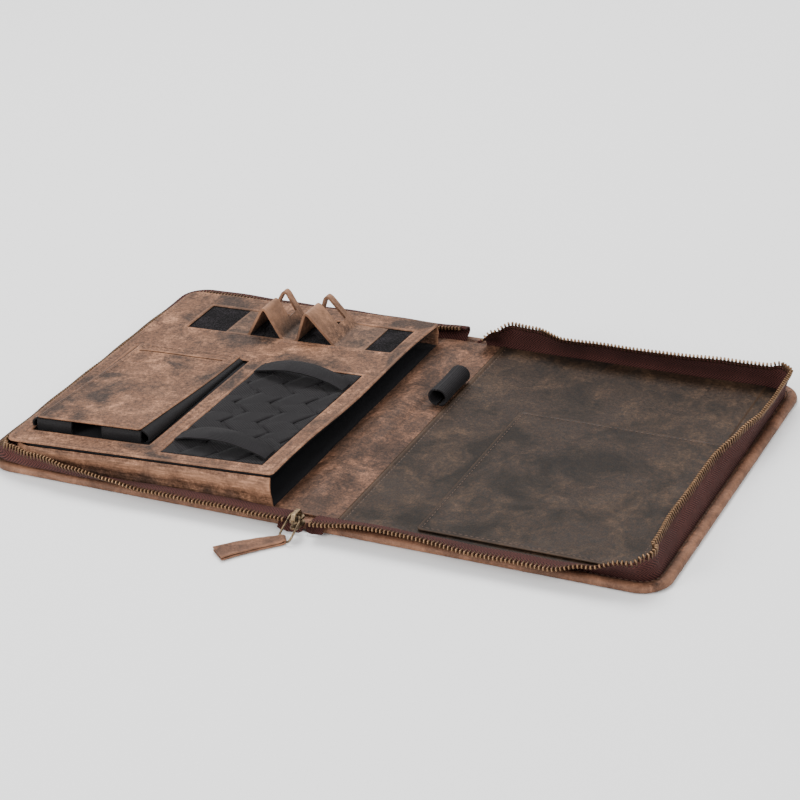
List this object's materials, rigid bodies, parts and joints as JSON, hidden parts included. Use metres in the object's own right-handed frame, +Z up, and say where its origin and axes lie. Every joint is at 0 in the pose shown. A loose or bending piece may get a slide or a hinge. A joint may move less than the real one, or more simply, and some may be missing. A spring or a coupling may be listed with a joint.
{
  "type": "zip-round leather document case",
  "caption": "Open leather portfolio case: flat cover with zip tape round both halves, tablet sleeve under an organiser panel with card pocket, elastic and phone stand strap, pen loop.",
  "frame": {"origin": "middle of the cover's flat underside, on the table", "axes": "+X across the open case towards the empty half, +Y along the spine towards the far end, +Z up"},
  "size_m": [0.436, 0.3025, 0.0406],
  "materials": {
    "brown_leather": "matt, waxed",
    "dark_leather": "matt, waxed",
    "black_cloth": "smooth, faint sheen",
    "black_loop_pile": "looped pile",
    "black_elastic": "ribbed weave",
    "zip_cloth": "diagonal twill",
    "antique_brass": "aged, brushed"
  },
  "bodies": {
    "root": {"outer_cover": "brown_leather", "zip_tape_left": "zip_cloth", "zip_tape_right": "zip_cloth", "zip_teeth_left": "antique_brass", "zip_teeth_right": "antique_brass", "tape_tail_left": "zip_cloth", "tape_tail_right": "zip_cloth", "slider_body": "antique_brass", "pull_ring": "antique_brass", "pull_tab": "brown_leather", "sleeve_lining": "black_cloth", "sleeve_wrap": "brown_leather", "panel_backing": "black_cloth", "organiser_panel": "brown_leather", "loop_field": "black_loop_pile", "elastic_grid": "black_elastic", "stand_strap": "brown_leather", "card_pocket_face": "brown_leather", "card_gusset_spine_side": "black_cloth", "card_gusset_outer_side": "black_cloth", "card_tab_outer": "black_cloth", "card_tab_spine_side": "black_cloth", "elastic_band_near": "black_elastic", "elastic_band_far": "black_elastic", "spine_lining": "brown_leather", "right_panel": "dark_leather", "slip_pocket": "dark_leather", "pen_loop": "black_elastic"}
  },
  "joints": []
}
